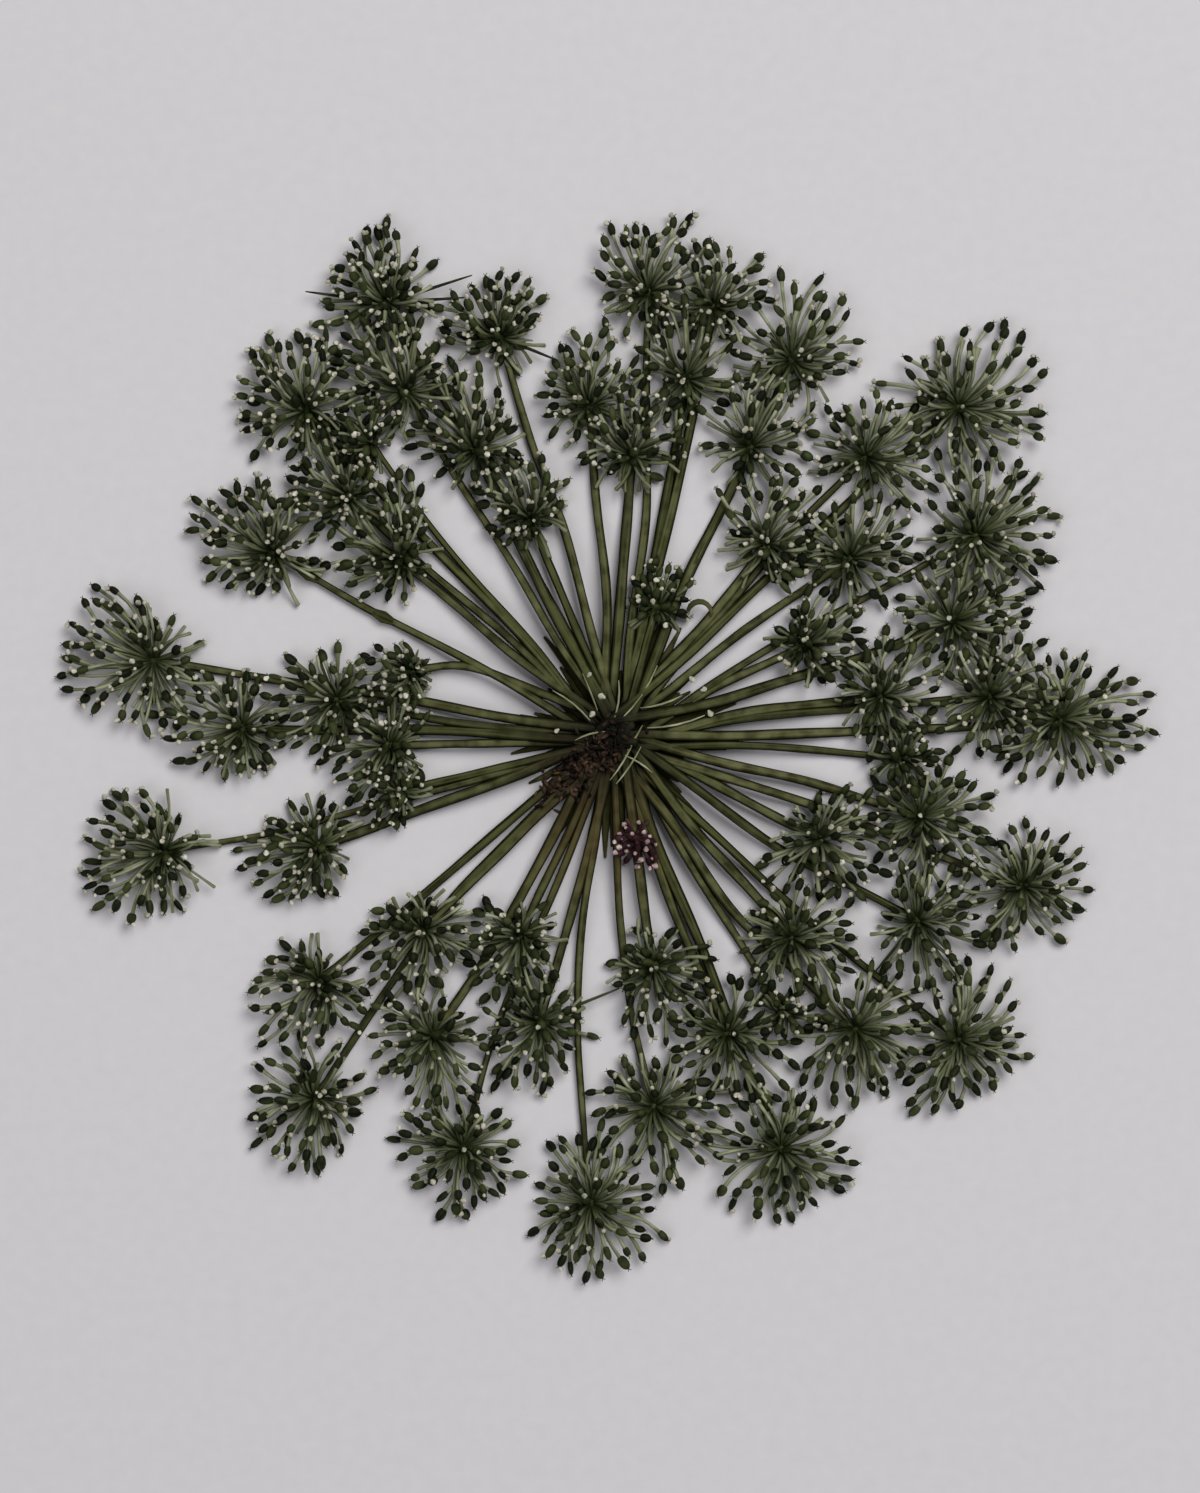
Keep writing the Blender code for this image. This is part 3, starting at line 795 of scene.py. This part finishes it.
def knob_and_bracteoles(shape, index, knob, draw):
    """The ray's swollen end, and the thin blades that stand out from under it."""
    rings = lathe(knob, KNOB_OUTLINE, KNOB_RADIUS, KNOB_HEIGHT, KNOB_SIDES)
    shape.skin(rings, knob - UP * KNOB_HEIGHT, knob + UP * KNOB_HEIGHT, STALK_SKIN, draw.random())
    radius = EVERY[index][2] * MM
    turn = draw.uniform(0, math.tau)
    blades = []
    for step in range(BRACTEOLES):
        way = turn + math.tau * step / BRACTEOLES + draw.uniform(-BRACTEOLE_TURN, BRACTEOLE_TURN)
        blades.append((way, radius * draw.uniform(*BRACTEOLE_REACH), STALK_SKIN))
    for place, way, reach in LONG_BRACTEOLES:
        if place == index:
            blades.append((math.radians(way), reach * MM, OVARY_SKIN))
    for way, reach, finish in blades:
        out = level_way(way)[0]
        lifts = [UP * level * MM for level in BRACTEOLE_LEVELS]
        guide, end = knob + out * reach * 0.5 + lifts[1], knob + out * reach + lifts[2]
        path = curve_between(knob + lifts[0], guide, end, len(BRACTEOLE_WIDTHS))
        radii = np.array(BRACTEOLE_WIDTHS) * MM
        tube(shape, path, radii, BRACTEOLE_SIDES, finish, draw.random(), pressed=BRACTEOLE_PRESSED)


def umbellet_piece(index, name, node, paths, company, finishes):
    """One umbellet: its knob and bracteoles, its florets and the stalks that have lost theirs."""
    draw = random.Random(SEED * 1000 + index)
    umbellet = EVERY[index]
    knob = np.array((*knob_place(umbellet), knob_level(umbellet)))
    shape = Shape()
    knob_and_bracteoles(shape, index, knob, draw)
    creamy = CREAMY + CREAMY_UPPER_LEFT * upper_left(umbellet) + draw.uniform(-CREAMY_PLAY, CREAMY_PLAY)
    if umbellet is CENTRAL:
        creamy = CREAMY_CENTRAL
    for tip, facing, length, share in floret_places(index, paths, company, draw):
        radius = draw.uniform(*OVARY_RADIUS) * size_share(umbellet)
        floret(shape, knob, tip, facing, length, share, radius, creamy, draw)
    for _ in range(round(BARE_STALKS_PER_MM * umbellet[2])):
        bare_stalk(shape, knob, umbellet[2] * MM, draw)
    made = shape.piece(name, finishes)
    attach(made, "root")
    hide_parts(node)


# Materials


def linear(red, green, blue):
    """A colour as it looks on a screen (0 to 255), turned into the light that it stands for."""
    scaled = [value / 255.0 for value in (red, green, blue)]
    return (*[v / 12.92 if v <= 0.04045 else ((v + 0.055) / 1.055) ** 2.4 for v in scaled], 1.0)


def new_group(name, inputs, outputs):
    """A group of shader nodes for numbers that change over the surface, with its two ends."""
    group = bpy.data.node_groups.new(name, "ShaderNodeTree")
    for label, default in inputs:
        socket = group.interface.new_socket(label, in_out="INPUT", socket_type="NodeSocketFloat")
        socket.default_value = default
    for label in outputs:
        group.interface.new_socket(label, in_out="OUTPUT", socket_type="NodeSocketFloat")
    return group, group.nodes.new("NodeGroupInput"), group.nodes.new("NodeGroupOutput")


def set_or_link(links, socket, value):
    if isinstance(value, bpy.types.NodeSocket):
        links.new(value, socket)
    else:
        socket.default_value = value


def mix(nodes, links, factor, first, second):
    """A colour mix, whose factor and colours are sockets or values."""
    made = nodes.new("ShaderNodeMix")
    made.data_type = "RGBA"
    set_or_link(links, made.inputs[0], factor)
    set_or_link(links, made.inputs[6], first)
    set_or_link(links, made.inputs[7], second)
    return made.outputs[2]


def spread(nodes, links, value, low, high, to_low, to_high):
    """A number brought from one range to another, and held within it."""
    made = nodes.new("ShaderNodeMapRange")
    made.inputs["From Min"].default_value = low
    made.inputs["From Max"].default_value = high
    made.inputs["To Min"].default_value = to_low
    made.inputs["To Max"].default_value = to_high
    links.new(value, made.inputs["Value"])
    return made.outputs["Result"]


def arithmetic(nodes, links, operation, *values):
    """One step of arithmetic in a node, on sockets or values."""
    made = nodes.new("ShaderNodeMath")
    made.operation = operation
    for socket, value in zip(made.inputs, values):
        set_or_link(links, socket, value)
    return made.outputs[0]


def grain_group():
    """Streaks along a stalk or an ovary, and blotches over it. It also tells how light each one is by
    itself, how far along it a point lies, and how far up that side of it faces.
    """
    group, come, go = new_group(
        "dried plant grain",
        (("Streaks around", 26.0), ("Streaks along", 500.0), ("Blotch size", 700.0)),
        ("Streak", "Blotch", "Own tint", "Length", "Crown"),
    )
    nodes, links = group.nodes, group.links
    grain = nodes.new("ShaderNodeAttribute")
    grain.attribute_name = "grain"
    parts = nodes.new("ShaderNodeSeparateXYZ")
    links.new(grain.outputs["Vector"], parts.inputs[0])
    around, along, tint = parts.outputs
    turned = arithmetic(nodes, links, "MULTIPLY", around, math.tau)
    ring = nodes.new("ShaderNodeCombineXYZ")
    for axis, operation in enumerate(("COSINE", "SINE")):
        wave = arithmetic(nodes, links, operation, turned)
        sized = arithmetic(nodes, links, "MULTIPLY", wave, come.outputs["Streaks around"])
        links.new(sized, ring.inputs[axis])
    length = arithmetic(nodes, links, "MULTIPLY", along, come.outputs["Streaks along"])
    own = arithmetic(nodes, links, "MULTIPLY_ADD", tint, 91.0, length)
    links.new(own, ring.inputs[2])
    streak = nodes.new("ShaderNodeTexNoise")
    streak.inputs["Scale"].default_value = 0.25
    streak.inputs["Detail"].default_value = 3.0
    links.new(ring.outputs[0], streak.inputs["Vector"])
    place = nodes.new("ShaderNodeTexCoord")
    blotch = nodes.new("ShaderNodeTexNoise")
    blotch.inputs["Detail"].default_value = 2.0
    links.new(place.outputs["Object"], blotch.inputs["Vector"])
    links.new(come.outputs["Blotch size"], blotch.inputs["Scale"])
    links.new(streak.outputs["Fac"], go.inputs["Streak"])
    links.new(blotch.outputs["Fac"], go.inputs["Blotch"])
    links.new(tint, go.inputs["Own tint"])
    links.new(along, go.inputs["Length"])
    links.new(wave, go.inputs["Crown"])
    return group


def patch_mask(nodes, links, centre, near, far, strength):
    """Full strength at a place on the head, fading to nothing further off."""
    place = nodes.new("ShaderNodeTexCoord")
    apart = nodes.new("ShaderNodeVectorMath")
    apart.operation = "DISTANCE"
    apart.inputs[1].default_value = centre
    links.new(place.outputs["Object"], apart.inputs[0])
    return spread(nodes, links, apart.outputs["Value"], near, far, strength, 0.0)


def add_relief(nodes, links, shader, height, strength):
    relief = nodes.new("ShaderNodeBump")
    relief.inputs["Strength"].default_value = strength
    relief.inputs["Distance"].default_value = RELIEF
    links.new(height, relief.inputs["Height"])
    links.new(relief.outputs["Normal"], shader.inputs["Normal"])


def new_finish(name):
    made = bpy.data.materials.new(name)
    made.use_nodes = True
    nodes, links = made.node_tree.nodes, made.node_tree.links
    return made, nodes, links, nodes["Principled BSDF"]


def dried_finish(name, grain, dark, middle_tone, pale, roughness, bump=0.35, around=26.0, along=500.0):
    """A dried plant surface: dark to pale along its streaks, blotched, with each part a bit unlike."""
    made, nodes, links, shader = new_finish(name)
    grown = nodes.new("ShaderNodeGroup")
    grown.node_tree = grain
    grown.inputs["Streaks around"].default_value = around
    grown.inputs["Streaks along"].default_value = along
    streak = spread(nodes, links, grown.outputs["Streak"], 0.4, 0.6, 0.0, 1.0)
    blotch = spread(nodes, links, grown.outputs["Blotch"], 0.35, 0.65, 0.0, 1.0)
    colour = mix(nodes, links, streak, linear(*dark), linear(*middle_tone))
    lit = arithmetic(nodes, links, "MULTIPLY", blotch, grown.outputs["Own tint"])
    colour = mix(nodes, links, lit, colour, linear(*pale))
    rough = spread(nodes, links, grown.outputs["Streak"], 0.3, 0.7, roughness + 0.1, roughness - 0.1)
    links.new(rough, shader.inputs["Roughness"])
    add_relief(nodes, links, shader, grown.outputs["Streak"], bump)
    shader.inputs["Specular IOR Level"].default_value = DRIED_SHEEN
    return made, nodes, links, shader, colour, grown


def stalk_finish(name, grain, root, *tones):
    """A floret's stalk: darker where it leaves the knob, paler further out. The darkening at the root is
    painted shade, where the stalks crowd together at the knob.
    """
    made, nodes, links, shader, colour, grown = dried_finish(
        name, grain, *tones, 0.65, around=FINE_AROUND, along=FINE_ALONG
    )
    # Painted shade: the root colour darkens each part over its first few millimetres, for the shade among
    # the crowded stalks at the knob.
    outward = spread(nodes, links, grown.outputs["Length"], 0.4 * MM, 3.4 * MM, 0.0, 1.0)
    links.new(mix(nodes, links, outward, linear(*root), colour), shader.inputs["Base Color"])
    return made


def plain_dried(name, *arguments, **named):
    """A dried finish that is the same from end to end of each part."""
    made, _, links, shader, colour, _ = dried_finish(name, *arguments, **named)
    links.new(colour, shader.inputs["Base Color"])
    return made


def ray_finish(grain):
    """Olive green with painted shade on its sides, browner below and to the left of the hub, and darkened to
    nearly black on the hub by painted shade.
    """
    made, nodes, links, shader, colour, grown = dried_finish(
        "dried olive ray", grain, (31, 35, 13), (73, 78, 40), (114, 118, 78), 0.62, around=7.0, along=300.0
    )
    browned = spread(nodes, links, grown.outputs["Own tint"], 0.0, 1.0, 0.0, 0.4)
    colour = mix(nodes, links, browned, colour, linear(66, 60, 36))
    below = patch_mask(nodes, links, (-1.5 * MM, -7.5 * MM, 0.0), 2.0 * MM, 8.0 * MM, 0.5)
    colour = mix(nodes, links, below, colour, linear(78, 60, 32))
    stain = patch_mask(nodes, links, (-3.4 * MM, -2.4 * MM, MM), 1.8 * MM, 7.0 * MM, 0.7)
    colour = mix(nodes, links, stain, colour, linear(34, 25, 16))
    # Painted shade: each ray's sides, away from its upward-facing crown, are darkened to near black, as
    # light from above leaves them in shade.
    painted_flank_shade_mask = spread(nodes, links, grown.outputs["Crown"], 0.15, 0.7, 0.0, 1.0)
    colour = mix(nodes, links, painted_flank_shade_mask, linear(18, 21, 9), colour)
    # Painted shade: the rays darken to nearly black towards the hub's middle, where they cross over one
    # another.
    hub_painted_shade = patch_mask(nodes, links, (-0.3 * MM, 0.0, MM), 1.5 * MM, 5.4 * MM, 0.95)
    colour = mix(nodes, links, hub_painted_shade, colour, linear(9, 8, 5))
    links.new(colour, shader.inputs["Base Color"])
    return made


def floor_finish():
    """The pale surface underneath, faintly fibrous."""
    made, nodes, links, shader = new_finish("pale paper")
    place = nodes.new("ShaderNodeTexCoord")
    fibre = nodes.new("ShaderNodeTexNoise")
    fibre.inputs["Scale"].default_value = 900.0
    fibre.inputs["Detail"].default_value = 4.0
    links.new(place.outputs["Object"], fibre.inputs["Vector"])
    colour = mix(nodes, links, fibre.outputs["Fac"], linear(207, 205, 208), linear(216, 213, 215))
    links.new(colour, shader.inputs["Base Color"])
    shader.inputs["Roughness"].default_value = 0.9
    shader.inputs["Specular IOR Level"].default_value = 0.1
    add_relief(nodes, links, shader, fibre.outputs["Fac"], 0.15)
    return made


# Surroundings


def add_floor():
    bpy.ops.mesh.primitive_plane_add(size=1.2, location=(0.0, 0.0, -0.02 * MM))
    floor = bpy.context.object
    floor.name = "paper_floor"
    floor.data.materials.append(floor_finish())


def add_light(name, place, size, power, colour):
    """A soft round light that faces the middle of the head."""
    lamp = bpy.data.lights.new(name, "AREA")
    lamp.shape = "DISK"
    lamp.size = size
    lamp.energy = power
    lamp.color = colour
    made = bpy.data.objects.new(name, lamp)
    made.location = place
    made.rotation_euler = (-Vector(place)).to_track_quat("-Z", "Y").to_euler()
    bpy.context.scene.collection.objects.link(made)


def add_world(colour, strength):
    world = bpy.data.worlds.new("soft room")
    world.use_nodes = True
    backdrop = world.node_tree.nodes["Background"]
    backdrop.inputs["Color"].default_value = (*colour, 1.0)
    backdrop.inputs["Strength"].default_value = strength
    bpy.context.scene.world = world


def add_camera():
    """Straight down on the face of the head, as it is seen in the photograph."""
    centre = (cad_low + cad_high) / 2
    wide = (cad_high.x - cad_low.x) * MARGIN
    distance = wide / IMAGE_SHAPE * LENS / SENSOR
    lens = bpy.data.cameras.new("straight down")
    lens.lens = LENS
    lens.sensor_width = SENSOR
    lens.clip_start = 0.01
    lens.clip_end = 10.0
    made = bpy.data.objects.new("straight down", lens)
    made.location = (centre.x, centre.y, cad_high.z + distance)
    bpy.context.scene.collection.objects.link(made)
    bpy.context.scene.camera = made


def main():
    add_camera()
    add_floor()
    add_light("window", (0.3, 0.36, 0.8), 0.6, 6.5, (1.0, 0.99, 0.98))
    add_light("fill", (-0.5, -0.3, 0.8), 0.8, 1.95, (0.97, 0.98, 1.0))
    add_world((0.94, 0.94, 0.97), 0.195)
    bpy.context.scene.view_settings.view_transform = "Standard"

    grain = grain_group()
    ray_green = ray_finish(grain)
    # The first colour given to each stalk finish is the painted shade at the stalks' roots.
    stalk_green = stalk_finish(
        "pale olive stalk", grain, (38, 46, 20), (92, 98, 68), (126, 131, 99), (176, 180, 150)
    )
    ovary_green = plain_dried(
        "dark green ovary", grain, (6, 8, 3), (25, 31, 14), (70, 78, 44), 0.55,
        around=FINE_AROUND, along=FINE_ALONG,
    )
    cream = plain_dried(
        "cream petal", grain, (150, 146, 124), (196, 192, 172), (226, 222, 206), 0.75, bump=0.2
    )
    tuft_brown = plain_dried("purple brown tuft", grain, (3, 2, 2), (14, 9, 8), (86, 67, 52), 0.7)
    bract_dark = plain_dried("dark bract", grain, (40, 40, 19), (62, 62, 31), (86, 84, 50), 0.7)
    # Painted highlight: the pale strands over the hub stand in for light along the rays' crowns.
    pale_highlight_thread = plain_dried(
        "pale highlight thread", grain, (92, 94, 64), (136, 137, 102), (178, 178, 146), 0.7
    )
    # Its first colour is the painted shade at the stalks' roots.
    purple_stalk = stalk_finish(
        "purple stalk", grain, (44, 26, 28), (84, 60, 56), (110, 86, 78), (132, 108, 98)
    )
    purple = plain_dried("dark purple ovary", grain, (20, 8, 13), (46, 21, 29), (78, 46, 52), 0.55)
    pink_cream = plain_dried(
        "pinkish cream petal", grain, (150, 122, 120), (196, 170, 166), (224, 204, 200), 0.75
    )

    draw = random.Random(SEED)
    orders = places_in_order()
    paths = [ray_path(umbellet, orders[index], draw) for index, umbellet in enumerate(EVERY)]
    stem = Shape()
    for umbellet, path in zip(EVERY, paths):
        ray(stem, umbellet, path, draw)
    for which, x, y in KNOTS:
        knot(stem, paths[which], x * MM, y * MM)
    hub(stem, draw)
    rays = stem.piece("rays_and_hub", (ray_green, tuft_brown, cream, pale_highlight_thread, bract_dark))
    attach(rays, "root")
    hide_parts("hub_and_rays")

    company = Company(COMPANY_CELL)
    green = (stalk_green, ovary_green, cream)
    for index in range(len(UMBELLETS)):
        number = f"{index + 1:02d}"
        umbellet_piece(
            index, f"florets_{number}", f"umbellet_{number}", paths, company, green
        )
    umbellet_piece(
        len(UMBELLETS), "florets_central", "central_umbellet", paths, company,
        (purple_stalk, purple, pink_cream),
    )


main()
